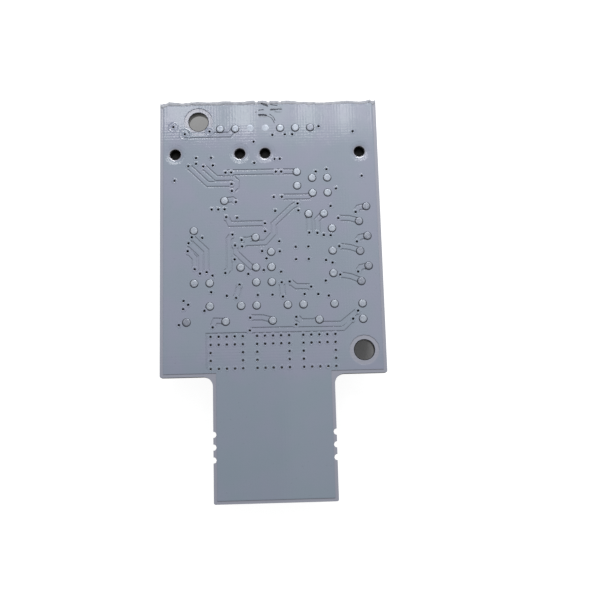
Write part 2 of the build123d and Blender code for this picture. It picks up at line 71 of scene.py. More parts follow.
def addCamera(setup):
    data = bpy.data.cameras.new("camera")
    data.lens = setup["lens"]
    data.sensor_width = setup["sensor"]
    data.clip_start = 0.005
    data.clip_end = 20
    camera = bpy.data.objects.new("camera", data)
    bpy.context.collection.objects.link(camera)
    back = -Vector(setup["looks"]).normalized()
    right = Vector(setup["up"]).cross(back).normalized()
    up = back.cross(right)
    turn = Matrix((right, up, back)).transposed()
    camera.matrix_world = Matrix.Translation(Vector(setup["place"]) * mm) @ turn.to_4x4()
    bpy.context.scene.camera = camera


addCamera(cameraSetup)
bpy.context.scene.view_settings.view_transform = "Standard"
print("camera set")


# node helpers
def linear(value):
    value /= 255
    return value / 12.92 if value <= 0.04045 else ((value + 0.055) / 1.055) ** 2.4


def tone(red, green, blue):
    return (linear(red), linear(green), linear(blue), 1)


class Finish:
    # one material and the few node moves that every finish here is made of
    def __init__(self, name):
        self.material = bpy.data.materials.new(name)
        self.material.use_nodes = True
        self.tree = self.material.node_tree
        self.tree.nodes.clear()
        self.out = self.tree.nodes.new("ShaderNodeOutputMaterial")
        self.shader = self.tree.nodes.new("ShaderNodeBsdfPrincipled")
        self.join(self.shader.outputs["BSDF"], self.out.inputs["Surface"])
        self.place = self.tree.nodes.new("ShaderNodeTexCoord").outputs["Object"]

    def join(self, source, target):
        self.tree.links.new(source, target)

    def fill(self, socket, value):
        if isinstance(value, bpy.types.NodeSocket):
            self.join(value, socket)
        else:
            socket.default_value = value

    def stretch(self, scale, turn=0):
        mapping = self.tree.nodes.new("ShaderNodeMapping")
        mapping.inputs["Scale"].default_value = scale
        mapping.inputs["Rotation"].default_value = (0, 0, turn)
        self.join(self.place, mapping.inputs["Vector"])
        return mapping.outputs["Vector"]

    def cloud(self, size, detail=3, place=None):
        # noise whose patches are about this many millimetres across
        texture = self.tree.nodes.new("ShaderNodeTexNoise")
        texture.inputs["Scale"].default_value = 1 / (size * mm)
        texture.inputs["Detail"].default_value = detail
        self.join(place or self.place, texture.inputs["Vector"])
        return texture.outputs["Fac"]

    def grains(self, size):
        texture = self.tree.nodes.new("ShaderNodeTexVoronoi")
        texture.inputs["Scale"].default_value = 1 / (size * mm)
        self.join(self.place, texture.inputs["Vector"])
        return texture.outputs["Distance"]

    def bands(self, size, axis, distortion=0.0):
        texture = self.tree.nodes.new("ShaderNodeTexWave")
        texture.bands_direction = axis
        texture.inputs["Scale"].default_value = 0.314 / (size * mm)
        texture.inputs["Distortion"].default_value = distortion
        self.join(self.place, texture.inputs["Vector"])
        return texture.outputs["Fac"]

    def math(self, operation, first, second=0.0, clamp=False):
        step = self.tree.nodes.new("ShaderNodeMath")
        step.operation = operation
        step.use_clamp = clamp
        self.fill(step.inputs[0], first)
        self.fill(step.inputs[1], second)
        return step.outputs[0]

    def between(self, value, low, high, toLow=0.0, toHigh=1.0):
        step = self.tree.nodes.new("ShaderNodeMapRange")
        self.fill(step.inputs["Value"], value)
        step.inputs["From Min"].default_value = low
        step.inputs["From Max"].default_value = high
        step.inputs["To Min"].default_value = toLow
        step.inputs["To Max"].default_value = toHigh
        return step.outputs[0]

    def mix(self, share, first, second):
        step = self.tree.nodes.new("ShaderNodeMix")
        step.data_type = "RGBA"
        self.fill(step.inputs[0], share)
        self.fill(step.inputs[6], first)
        self.fill(step.inputs[7], second)
        return step.outputs[2]

    def split(self, vector):
        step = self.tree.nodes.new("ShaderNodeSeparateXYZ")
        self.join(vector, step.inputs[0])
        return step.outputs

    def normal(self):
        return self.split(self.tree.nodes.new("ShaderNodeNewGeometry").outputs["Normal"])

    def bump(self, height, depth, under=None):
        step = self.tree.nodes.new("ShaderNodeBump")
        step.inputs["Strength"].default_value = 1
        step.inputs["Distance"].default_value = depth * mm
        self.fill(step.inputs["Height"], height)
        if under:
            self.join(under, step.inputs["Normal"])
        return step.outputs["Normal"]

    def rounded(self, radius, share):
        # a normal turned by this share towards what it would be on edges this round, in mm,
        # and how much of an edge is near, from 0 to 1
        bevel = self.tree.nodes.new("ShaderNodeBevel")
        bevel.samples = 8
        bevel.inputs["Radius"].default_value = radius * mm
        flat = self.tree.nodes.new("ShaderNodeNewGeometry")
        step = self.tree.nodes.new("ShaderNodeMix")
        step.data_type = "VECTOR"
        step.inputs[0].default_value = share
        self.join(flat.outputs["Normal"], step.inputs[4])
        self.join(bevel.outputs["Normal"], step.inputs[5])
        unit = self.tree.nodes.new("ShaderNodeVectorMath")
        unit.operation = "NORMALIZE"
        self.join(step.outputs[1], unit.inputs[0])
        apart = self.tree.nodes.new("ShaderNodeVectorMath")
        apart.operation = "DOT_PRODUCT"
        self.join(flat.outputs["Normal"], apart.inputs[0])
        self.join(bevel.outputs["Normal"], apart.inputs[1])
        return unit.outputs[0], self.between(apart.outputs["Value"], 0.98, 0.7)

    def finish(self, colour, roughness, metallic=0.0, normal=None, coat=0.0, coatRoughness=0.1, shine=0.5):
        self.fill(self.shader.inputs["Base Color"], colour)
        self.fill(self.shader.inputs["Roughness"], roughness)
        self.fill(self.shader.inputs["Metallic"], metallic)
        self.shader.inputs["Coat Weight"].default_value = coat
        self.shader.inputs["Coat Roughness"].default_value = coatRoughness
        self.shader.inputs["Specular IOR Level"].default_value = shine
        if normal:
            self.join(normal, self.shader.inputs["Normal"])
            if coat:
                self.join(normal, self.shader.inputs["Coat Normal"])
        return self.material


# finish of the circuit board: glossy mask over copper, laminate at the cut edges
boardLook = {
    "mask": (150, 157, 177),
    "maskGreen": (142, 158, 172),
    "maskViolet": (151, 156, 178),
    "margin": (163, 166, 181),
    "laminate": (122, 121, 118),
    "laminateDark": (86, 84, 80),
    "edgeThinAndShadeShare": 0.17,
    "edgeThinAndShade": (112, 118, 130),  # mask stretched thin over the edges of the copper, together with painted shade in the grooves
    "blotch": 5.0,  # mm
    "ripple": 7.0,
    "rippleDepth": 0.045,
    "peel": 0.9,
    "peelDepth": 0.0034,
    "weave": 0.48,
    "weaveDepth": 0.0011,
    "roughness": 0.42,
    "coatRoughness": 0.04,
    "flow": 0.24,  # how far the mask rounds over the edges of the copper
    "flowShare": 0.17,
    "skin": 0.13,  # how deep the mask reaches into grooves
    "tongueBands": 3.4,
}


def maskFinish(look):
    made = Finish("boardMask")
    parts = made.split(made.place)
    blotch = made.between(made.cloud(look["blotch"], 2), 0.4, 0.6)
    green = made.mix(blotch, tone(*look["maskGreen"]), tone(*look["maskViolet"]))
    colour = made.mix(0.55, tone(*look["mask"]), green)
    # faint stripes down the tongue, where the copper is one wide sheet
    alongX = made.stretch((1, 0.02, 1))
    stripes = made.between(made.cloud(look["tongueBands"], 1, alongX), 0.4, 0.6)
    shoulder = made.between(parts["Y"], -13.3 * mm, -15 * mm)
    onTongue = made.math("MULTIPLY", stripes, shoulder)
    colour = made.mix(made.math("MULTIPLY", onTongue, 0.3), colour, tone(*look["maskGreen"]))
    colour = made.mix(made.math("MULTIPLY", shoulder, 0.35), colour, tone(*look["maskGreen"]))
    # the margin has no copper under the mask and looks a little paler
    aboveFloor = made.math("GREATER_THAN", parts["Z"], backZ - 0.09 * mm)
    belowPour = made.math("LESS_THAN", parts["Z"], backZ - 0.04 * mm)
    margin = made.math("MULTIPLY", aboveFloor, belowPour)
    colour = made.mix(margin, colour, tone(*look["margin"]))
    # dust and handling marks
    specks = made.between(made.cloud(0.35, 2), 0.7, 0.78)
    colour = made.mix(made.math("MULTIPLY", specks, 0.25), colour, tone(96, 98, 104))

    # laminate at the edges and in the bores
    layers = made.bands(0.2, "Z", 1.5)
    fibres = made.cloud(0.08, 4, made.stretch((1, 1, 4)))
    layered = made.math("MULTIPLY", layers, fibres)
    edge = made.mix(layered, tone(*look["laminate"]), tone(*look["laminateDark"]))
    steep = made.between(made.math("ABSOLUTE", made.normal()["Z"]), 0.2, 0.35, 1, 0)
    belowBack = made.math("LESS_THAN", parts["Z"], backZ - look["skin"] * mm)
    aboveFront = made.math("GREATER_THAN", parts["Z"], componentZ + 0.02 * mm)
    cut = made.math("MULTIPLY", steep, made.math("MULTIPLY", belowBack, aboveFront))
    colour = made.mix(cut, colour, edge)

    flowing, nearEdge = made.rounded(look["flow"], look["flowShare"])
    onTop = made.math("SUBTRACT", 1, cut)
    # darker on the top near every edge of the grooves: partly thin mask over the copper's edges, partly
    # painted shade in the grooves
    thinnedAndShaded = made.math("MULTIPLY", made.math("MULTIPLY", nearEdge, onTop), look["edgeThinAndShadeShare"])
    colour = made.mix(thinnedAndShaded, colour, tone(*look["edgeThinAndShade"]))

    ripple = made.cloud(look["ripple"], 1, made.stretch((1, 0.45, 1)))
    peel = made.cloud(look["peel"], 3)
    weave = made.math("ADD", made.bands(look["weave"], "X", 0.4), made.bands(look["weave"], "Y", 0.4))
    normal = made.bump(ripple, look["rippleDepth"], flowing)
    normal = made.bump(peel, look["peelDepth"], normal)
    normal = made.bump(weave, look["weaveDepth"], normal)
    worn = made.between(made.cloud(3.0, 4), 0.3, 0.7, look["roughness"] - 0.06, look["roughness"] + 0.08)
    roughness = made.math("ADD", worn, made.math("MULTIPLY", cut, 0.4))
    return made.finish(colour, roughness, normal=normal, coat=1.0, coatRoughness=look["coatRoughness"])


# finishes of the parts
def tinFinish(name, colour, roughness, grain=0.25, depth=0.004):
    made = Finish(name)
    dull = made.between(made.cloud(grain * 2, 3), 0.35, 0.7)
    dark = tuple(value * 0.72 for value in colour)
    shade = made.mix(dull, tone(*colour), tone(*dark))
    rough = made.between(made.cloud(grain, 3), 0.3, 0.7, roughness - 0.08, roughness + 0.12)
    return made.finish(shade, rough, 1.0, made.bump(made.cloud(grain, 3), depth))


def padFinish(name, bright, dark):
    # solder with a skin of flux: mostly diffuse, a little metallic
    made = Finish(name)
    dull = made.between(made.cloud(0.5, 3), 0.35, 0.7)
    shade = made.mix(dull, tone(*bright), tone(*dark))
    rough = made.between(made.cloud(0.3, 3), 0.3, 0.7, 0.34, 0.5)
    return made.finish(shade, rough, 0.35, made.bump(made.cloud(0.3, 3), 0.006))


def mouldedFinish(name, colour, roughness, grain=0.05, depth=0.003, rub=1.25, shine=0.5):
    made = Finish(name)
    patches = made.between(made.cloud(1.2, 4), 0.35, 0.65)
    light = tuple(min(255, value * rub + 4) for value in colour)
    shade = made.mix(made.math("MULTIPLY", patches, 0.6), tone(*colour), tone(*light))
    rough = made.between(made.cloud(0.6, 3), 0.3, 0.7, roughness - 0.08, roughness + 0.1)
    return made.finish(shade, rough, 0.0, made.bump(made.grains(grain), depth), shine=shine)


def ferriteFinish():
    made = Finish("ferrite")
    speckle = made.between(made.cloud(0.12, 3), 0.4, 0.7)
    shade = made.mix(speckle, tone(52, 52, 56), tone(84, 84, 88))
    rough = made.between(made.cloud(0.5, 3), 0.3, 0.7, 0.45, 0.65)
    return made.finish(shade, rough, 0.15, made.bump(made.cloud(0.1, 4), 0.006))


def windingFinish():
    made = Finish("enamelledWire")
    turns = made.bands(0.24, "Z")
    # the colour runs from dark brown in the creases between turns to bright copper on their crowns: painted
    # shade and highlight
    shade = made.mix(turns, tone(96, 44, 18), tone(196, 112, 58))
    rough = made.between(made.cloud(0.5, 2), 0.3, 0.7, 0.25, 0.4)
    return made.finish(shade, rough, 0.85, made.bump(turns, 0.08))


def canFinish(look):
    made = Finish("canAluminium")
    parts = made.split(made.place)
    brushed = made.cloud(0.06, 3, made.stretch((1, 0.06, 1)))
    shade = made.mix(brushed, tone(196, 198, 202), tone(150, 152, 158))
    low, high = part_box("bulk_capacitor_cans")
    outward = made.math("GREATER_THAN", made.math("ABSOLUTE", parts["X"]), high.x - look["markWidth"] * mm)
    top = made.between(made.normal()["Z"], -0.85, -0.95)
    mark = made.math("MULTIPLY", outward, top)
    shade = made.mix(mark, shade, tone(24, 24, 26))
    metallic = made.math("SUBTRACT", 1, mark)
    rough = made.between(brushed, 0.3, 0.7, 0.28, 0.42)
    return made.finish(shade, rough, metallic, made.bump(brushed, 0.003))


def phosphorFinish():
    made = Finish("phosphor")
    powder = made.between(made.grains(0.09), 0.1, 0.6)
    shade = made.mix(powder, tone(236, 204, 60), tone(214, 172, 36))
    return made.finish(shade, made.between(made.cloud(0.3, 2), 0.3, 0.7, 0.3, 0.5), 0.0,
                       made.bump(powder, 0.004), coat=0.5)


finishes = {
    "mask_board": maskFinish(boardLook),
    "solder": padFinish("padSolder", (190, 198, 210), (169, 177, 192)),
    "connector_plastic": mouldedFinish("connectorNylon", (12, 12, 14), 0.5, 0.06, 0.002, shine=0.15),
    "contact_metal": tinFinish("contactTin", (205, 202, 192), 0.25, 0.3, 0.002),
    "lamp_ceramic": mouldedFinish("lampCeramic", (226, 224, 216), 0.55, 0.05, 0.001, 1.05),
    "lamp_phosphor": phosphorFinish(),
    "mould_compound": mouldedFinish("mouldCompound", (30, 30, 31), 0.6, 0.05, 0.004, 1.35),
    "tinned_lead": tinFinish("leadTin", (200, 200, 202), 0.32, 0.2, 0.003),
    "ferrite": ferriteFinish(),
    "copper_wire": windingFinish(),
    "choke_powder": mouldedFinish("chokePowder", (74, 76, 78), 0.6, 0.08, 0.006, 1.2),
    "can_metal": canFinish({"markWidth": 1.9}),
    "resistor_film": mouldedFinish("resistorFilm", (26, 26, 30), 0.35, 0.1, 0.001),
    "chip_ceramic": mouldedFinish("chipCeramic", (166, 138, 108), 0.5, 0.07, 0.001, 1.1),
}
dullSolder = padFinish("dullSolder", (168, 174, 187), (148, 154, 169))
slotOf = {part["node"]: part["material_slot"] for part in frame["record"]["subparts"]}
for name, node in nodes.items():
    node.data.materials.clear()
    node.data.materials.append(finishes[slotOf[name]])
print("finishes:", len(finishes))


# mesh helpers
def merged(name):
    mesh = bmesh.new()
    mesh.from_mesh(nodes[name].data)
    bmesh.ops.remove_doubles(mesh, verts=mesh.verts, dist=clean)
    return mesh


def connected(start, steps):
    # everything reached from start by steps, as a set
    found = {start}
    waiting = [start]
    while waiting:
        for other in steps(waiting.pop()):
            if other not in found:
                found.add(other)
                waiting.append(other)
    return found


def islands(mesh):
    # the vertices of each separate solid of a mesh
    left = set(mesh.verts)
    while left:
        island = connected(left.pop(), lambda vert: [edge.other_vert(vert) for edge in vert.link_edges])
        left -= island
        yield island


def reach(points, axes):
    # the lowest and highest corner of some points, along the first axes
    low = Vector(tuple(min(point[axis] for point in points) for axis in range(axes)))
    high = Vector(tuple(max(point[axis] for point in points) for axis in range(axes)))
    return low, high


def solidBoxes(name):
    # (low, high) of each separate solid of a node
    mesh = merged(name)
    boxes = [reach([vert.co for vert in island], 3) for island in islands(mesh)]
    mesh.free()
    return sorted(boxes, key=lambda box: tuple(box[0]))


def boardHoles():
    # (centre, radius) of each hole, from its rim on the component side
    mesh = merged("circuit_board")
    rim = set()
    for edge in mesh.edges:
        level = all(abs(vert.co.z - componentZ) < clean for vert in edge.verts)
        if level and any(abs(face.normal.z) < 0.5 for face in edge.link_faces):
            rim.add(edge)
    holes = []
    while rim:
        first = next(iter(rim))
        loop = connected(first, lambda edge: [o for vert in edge.verts for o in vert.link_edges if o in rim])
        rim -= loop
        points = {vert for edge in loop for vert in edge.verts}
        centre = sum((vert.co for vert in points), Vector()) / len(points)
        radius = max((vert.co - centre).length for vert in points)
        holes.append((centre, radius))
    mesh.free()
    outline = max(radius for centre, radius in holes)
    return sorted((hole for hole in holes if hole[1] < outline), key=lambda hole: (hole[1], tuple(hole[0])))


def asPiece(mesh, name, material, smooth=True):
    data = bpy.data.meshes.new(name)
    for face in mesh.faces:
        face.smooth = smooth
    mesh.to_mesh(data)
    mesh.free()
    data.materials.append(material)
    piece = bpy.data.objects.new(name, data)
    bpy.context.collection.objects.link(piece)
    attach(piece, "root")
    return piece


def turned(profile, sides):
    # a ring or disc spun round Z from a profile of (radius, height) in mm
    mesh = bmesh.new()
    verts = [mesh.verts.new((radius * mm, 0, height * mm)) for radius, height in profile]
    edges = [mesh.edges.new(pair) for pair in zip(verts, verts[1:])]
    bmesh.ops.spin(mesh, geom=verts + edges, cent=(0, 0, 0), axis=(0, 0, 1),
                   angle=math.tau, steps=sides, use_merge=True)
    bmesh.ops.remove_doubles(mesh, verts=mesh.verts, dist=clean)
    bmesh.ops.recalc_face_normals(mesh, faces=mesh.faces)
    return mesh


def repeated(unit, places):
    # one mesh with a copy of unit moved to each matrix
    whole = bmesh.new()
    single = bpy.data.meshes.new("unit")
    unit.to_mesh(single)
    unit.free()
    for place in places:
        start = len(whole.verts)
        whole.from_mesh(single)
        whole.verts.ensure_lookup_table()
        bmesh.ops.transform(whole, matrix=place, verts=whole.verts[start:])
    bpy.data.meshes.remove(single)
    return whole


def joined(meshes):
    # one mesh out of several, which are used up
    whole = bmesh.new()
    for mesh in meshes:
        data = bpy.data.meshes.new("ring")
        mesh.to_mesh(data)
        mesh.free()
        whole.from_mesh(data)
        bpy.data.meshes.remove(data)
    return whole


# board: the CAD solid, with its sharp grooves softened as mask flows over copper
maskEdge = {"softness": 0.02, "segments": 2, "sharpest": 35}  # mm, steps, degrees


def softenBoard(look):
    board = nodes["circuit_board"]
    weld = board.modifiers.new("weld", "WELD")
    weld.merge_threshold = clean
    bevel = board.modifiers.new("maskEdge", "BEVEL")
    bevel.width = look["softness"] * mm
    bevel.segments = look["segments"]
    bevel.limit_method = "ANGLE"
    bevel.angle_limit = math.radians(look["sharpest"])
    bevel.harden_normals = False


softenBoard(maskEdge)
holes = boardHoles()
viaReach = 0.3  # mm, holes smaller than this are vias
vias = [hole for hole in holes if hole[1] < viaReach * mm]
print("board softened, vias:", len(vias))


# probe pads: low domes of solder, each in its own opening in the mask, the proud ones ringed with painted
# shade
padLook = {
    "radius": 0.6,
    "height": 0.05,
    "dimple": 0.004,
    "gapRadius": 0.7,
    "shadeShift": (-0.02, -0.05, 0),  # the dark rings lie a little towards -y, so the painted shade is heaviest on the side of each pad away from the lamps
    "gapLevel": 0.004,
    "sides": 24,
    "flushHeight": 0.015,
    "channelX": 14.0,  # mm, the pads of the three channels are tarnished
    "channelY": 0.7,
    "dull": ((7.04, 28.5), (-13.97, -4.4)),
    "flush": (-3.12, -0.58),  # x of the two pads of the top row that lie flush
}


def padProfile(look, height):
    radius = look["radius"]
    return [
        (0, height - look["dimple"]),
        (radius * 0.25, height - look["dimple"] * 0.6),
        (radius * 0.5, height),
        (radius * 0.85, height * 0.98),
        (radius * 0.93, height * 0.8),
        (radius * 0.97, height * 0.45),
        (radius, look["gapLevel"]),
    ]


def probePads(look):
    places = {"flush": [], "dull": [], "bright": []}
    boxes = solidBoxes("test_pads")
    topRow = max(low.y for low, high in boxes)
    for low, high in boxes:
        middle = (low + high) / 2
        turn = Matrix.Rotation(random.uniform(0, 6), 4, "Z")
        place = Matrix.Translation((middle.x, middle.y, backZ)) @ turn
        flush = low.y > topRow - clean and min(abs(middle.x - x * mm) for x in look["flush"]) < 0.1 * mm
        listed = min((middle.xy - Vector(point) * mm).length for point in look["dull"]) < 0.1 * mm
        atChannels = middle.x > look["channelX"] * mm and middle.y > look["channelY"] * mm
        kind = "flush" if flush else "dull" if listed or atChannels else "bright"
        places[kind].append(place)
    print("pads of each kind:", {kind: len(found) for kind, found in places.items()})
    heights = {"flush": look["flushHeight"], "dull": look["height"], "bright": look["height"]}
    for kind in places:
        discs = repeated(turned(padProfile(look, heights[kind]), look["sides"]), places[kind])
        pads = asPiece(discs, kind + "Pads", dullSolder if kind == "dull" else finishes["solder"])
        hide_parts("test_pads")
    proud = places["dull"] + places["bright"]
    # a dark ring round each proud pad, in the gap of its mask opening: its dark colour is painted shade,
    # heaviest on the side away from the lamps
    radius, gap = look["radius"], look["gapRadius"]
    rim = [(radius - 0.1, look["gapLevel"]), (gap, look["gapLevel"]), (gap + 0.02, 0)]
    shift = Matrix.Translation(Vector(look["shadeShift"]) * mm)
    shadeRings = repeated(turned(rim, look["sides"]), [shift @ place for place in proud])
    asPiece(shadeRings, "paintedPadShade", mouldedFinish("paintedPadShadeFinish", (58, 61, 70), 0.6, shine=0.2))
    return proud + places["flush"]


random.seed(5)
padPlaces = probePads(padLook)
print("probe pads:", len(padPlaces))


# via collars: the mask humps up a little round each plated hole
collarLook = {
    "inner": 0.2,
    "outer": 0.58,
    "height": 0.02,
    "sunk": -0.03,
    "foot": -0.004,
    "sides": 12,
    "frontCrest": 0.08,
    "frontSides": 10,
}


def viaCollars(look):
    inner, outer, height = look["inner"], look["outer"], look["height"]
    profile = [
        (inner, look["sunk"]),
        (inner, height * 0.5),
        (inner + 0.05, height),
        (inner + 0.15, height * 0.9),
        (outer - 0.12, height * 0.35),
        (outer, look["foot"]),
    ]
    places = [Matrix.Translation((centre.x, centre.y, backZ)) for centre, radius in vias]
    collars = repeated(turned(profile, look["sides"]), places)
    asPiece(collars, "viaCollars", finishes["mask_board"])


def frontCollars(look):
    # the same humps on the component side, turned over
    inner, outer, height = look["inner"], look["outer"], look["height"]
    profile = [
        (inner, look["sunk"]),
        (inner, height * 0.5),
        (inner + look["frontCrest"], height),
        (outer, look["foot"]),
    ]
    over = Matrix.Rotation(math.pi, 4, "X")
    places = [Matrix.Translation((centre.x, centre.y, componentZ)) @ over for centre, radius in vias]
    collars = repeated(turned(profile, look["frontSides"]), places)
    asPiece(collars, "frontCollars", finishes["mask_board"])


# rings: low ridges of mask round the vias that stand alone near the torn edge, x and y in mm
ringLook = {
    "width": 0.3,
    "height": 0.03,
    "foot": -0.01,
    "sides": 28,
    "rings": ((-16.1, 28.95, 0.8), (-14.15, 27.65, 0.95), (-10, 28.05, 0.66)),  # x, y, radius
}


def isolationRings(look):
    half, height, foot = look["width"] / 2, look["height"], look["foot"]
    rings = []
    for x, y, radius in look["rings"]:
        profile = [
            (radius - half, foot),
            (radius - half / 2, height),
            (radius + half / 2, height),
            (radius + half, foot),
        ]
        place = Matrix.Translation((x * mm, y * mm, backZ))
        rings.append(repeated(turned(profile, look["sides"]), [place]))
    asPiece(joined(rings), "isolationRings", finishes["mask_board"])


viaCollars(collarLook)
frontCollars(collarLook)
isolationRings(ringLook)


# dishes: the mask dips towards each peg hole
dishLook = {
    "pegRadius": 1.0,  # mm, holes smaller than this are for pegs
    "sides": 36,
    "rows": ((0.06, -0.11), (0.14, -0.07), (0.32, -0.03), (0.6, -0.01), (0.93, -0.002)),  # out, up
}


def pegDishes(look):
    pegs = [(centre, radius) for centre, radius in holes[len(vias):] if radius < look["pegRadius"] * mm]
    places = [Matrix.Translation((centre.x, centre.y, backZ)) for centre, radius in pegs]
    edge = pegs[0][1] / mm
    profile = [(edge + out, level) for out, level in look["rows"]]
    dishes = repeated(turned(profile, look["sides"]), places)
    asPiece(dishes, "pegDishes", finishes["mask_board"])
    return places


# cut edges: a dark line where the mask stops at each screw hole and peg hole; its darkness is partly the
# bare cut edge and partly painted shade at the rim
rimShadeLook = {
    "screwWidth": 0.08,
    "pegWidth": 0.06,
    "low": -0.1,
    "rise": 0.02,
    "sides": 36,
    "tone": (66, 68, 74),
}


def cutEdgesAndShade(look):
    rings = []
    for centre, radius in holes[len(vias):]:
        edge, low = radius / mm, look["low"]
        width = look["pegWidth"] if radius < dishLook["pegRadius"] * mm else look["screwWidth"]
        high = low + look["rise"]
        profile = [
            (edge - 0.03, low - 0.06),
            (edge - 0.02, high),
            (edge + width, high),
            (edge + width + 0.02, low),
        ]
        ring = turned(profile, look["sides"])
        bmesh.ops.translate(ring, verts=ring.verts, vec=(centre.x, centre.y, backZ))
        rings.append(ring)
    asPiece(joined(rings), "cutEdgesAndShade", mouldedFinish("cutMaskShade", look["tone"], 0.6, shine=0.3))


# collars of the header pegs, which wedge them in their holes; the black nylon fills each hole up to near the
# back, partly as the pegs' own fit and partly as a dark piece that stands in for the shade inside the hole
pegFillLook = {
    "holeShare": 0.966,
    "gap": 0.012,
    "inner": 0.73,
    "sunk": 0.3,
    "wall": 0.1,
    "edge": (0.05, 0.06),  # across, down
    "sides": 24,
}


def pegCollarsAndShade(places, look):
    hole = min(radius for centre, radius in holes if radius > viaReach * mm) / mm
    outer = hole * look["holeShare"] - look["gap"]
    inner = look["inner"]
    across, down = look["edge"]
    low, high = componentZ / mm, (backZ / mm) - look["sunk"]
    profile = [
        (inner, high - look["wall"]),
        (inner, high),
        (outer - across, high),
        (outer, high - down),
        (outer, low),
    ]
    levelled = [Matrix.Translation((place.translation.x, place.translation.y, 0)) for place in places]
    rings = repeated(turned(profile, look["sides"]), levelled)
    asPiece(rings, "pegCollarsAndShade", finishes["connector_plastic"])


pegPlaces = pegDishes(dishLook)
pegCollarsAndShade(pegPlaces, pegFillLook)
cutEdgesAndShade(rimShadeLook)
print("peg dishes:", len(pegPlaces))


# torn edge: a ragged lip of laminate and mask where the board was snapped from its panel
tearLook = {
    "step": 0.3,  # mm between the points of the lip
    "ragged": 0.09,
    # out, up in mm
    "rows": ((0.02, -0.3), (0.17, -0.07), (0.06, 0.015), (-0.24, 0.02), (-0.4, -0.04), (-0.56, -0.1)),
    "fibres": 110,
    "fibreLength": (0.25, 0.7),
    "fibreWidth": (0.03, 0.07),
}


def tornFinish():
    made = Finish("tornLaminate")
    fibres = made.cloud(0.12, 4, made.stretch((1, 3, 1)))
    patches = made.between(made.cloud(0.7, 2), 0.35, 0.65)
    shade = made.mix(made.between(fibres, 0.35, 0.65), tone(160, 163, 172), tone(206, 209, 217))
    shade = made.mix(made.math("MULTIPLY", patches, 0.5), shade, tone(178, 182, 192))
    return made.finish(shade, made.between(fibres, 0.3, 0.7, 0.5, 0.75), 0.0, made.bump(fibres, 0.02))


finishes["torn"] = tornFinish()


def tornLine():
    # points along the torn edge of the back, left to right
    mesh = merged("circuit_board")
    points = {}
    for edge in mesh.edges:
        walls = [face for face in edge.link_faces if abs(face.normal.z) < 0.1 and face.normal.y > 0.2]
        high = all(backZ - 0.2 * mm < vert.co.z < backZ + clean for vert in edge.verts)
        outer = all(vert.co.y > boardHigh.y - 0.9 * mm for vert in edge.verts)
        if walls and high and outer:
            for vert in edge.verts:
                points[round(vert.co.x / clean)] = vert.co.copy()
    mesh.free()
    return [points[key] for key in sorted(points)]


def tornLip(look):
    line = tornLine()
    mesh = bmesh.new()
    verts = [mesh.verts.new((point.x, point.y, backZ)) for point in line]
    edges = [mesh.edges.new(pair) for pair in zip(verts, verts[1:])]
    for edge in list(edges):
        cuts = int(edge.calc_length() / (look["step"] * mm))
        if cuts:
            bmesh.ops.subdivide_edges(mesh, edges=[edge], cuts=cuts)
    rows = look["rows"]
    bmesh.ops.translate(mesh, verts=mesh.verts, vec=(0, rows[0][0] * mm, rows[0][1] * mm))
    edges = list(mesh.edges)
    for before, row in zip(rows, rows[1:]):
        grown = bmesh.ops.extrude_edge_only(mesh, edges=edges)["geom"]
        verts = [part for part in grown if isinstance(part, bmesh.types.BMVert)]
        edges = [part for part in grown if isinstance(part, bmesh.types.BMEdge)]
        bmesh.ops.translate(mesh, verts=verts, vec=(0, (row[0] - before[0]) * mm, (row[1] - before[1]) * mm))
        for vert in verts:
            wild = noise.noise_vector(vert.co / (0.5 * mm)) * look["ragged"] * mm
            vert.co += Vector((0, wild.y, abs(wild.z) * 0.3 if row[1] > -0.06 else 0))
    bmesh.ops.recalc_face_normals(mesh, faces=mesh.faces)
    if sum(face.normal.z for face in mesh.faces) < 0:
        bmesh.ops.reverse_faces(mesh, faces=mesh.faces)
    asPiece(mesh, "tornLip", finishes["torn"], smooth=False)
    return line


def sliver(mesh, place, length, width, height, turn, tilt=0.0):
    # a thin splinter: a small ball drawn out to this length
    made = bmesh.ops.create_icosphere(mesh, subdivisions=1, radius=0.5 * mm)["verts"]
    for vert in made:
        vert.co += noise.noise_vector(vert.co / (0.3 * mm) + place / mm) * 0.12 * mm
    shape = Matrix.Translation(place) @ Matrix.Rotation(turn, 4, "Z") @ Matrix.Rotation(tilt, 4, "Y")
    shape = shape @ Matrix.Diagonal((length, width, height, 1))
    bmesh.ops.transform(mesh, matrix=shape, verts=made)


def tornFibres(look, line):
    mesh = bmesh.new()
    for count in range(look["fibres"]):
        first = random.randrange(len(line) - 1)
        place = line[first].lerp(line[first + 1], random.random())
        inward = random.uniform(-0.12, 0.1) * mm
        place = Vector((place.x, place.y + inward, backZ - random.uniform(0.02, 0.5) * mm))
        length = random.uniform(*look["fibreLength"])
        turn = random.choice((0, 0, math.pi / 2)) + random.uniform(-0.3, 0.3)
        width = random.uniform(*look["fibreWidth"])
        sliver(mesh, place, length, width, 0.05, turn, random.uniform(-0.25, 0.25))
    asPiece(mesh, "tornFibres", finishes["torn"], smooth=False)


tornPoints = tornLip(tearLook)
tornFibres(tearLook, tornPoints)
print("torn edge:", len(tornPoints), "points")


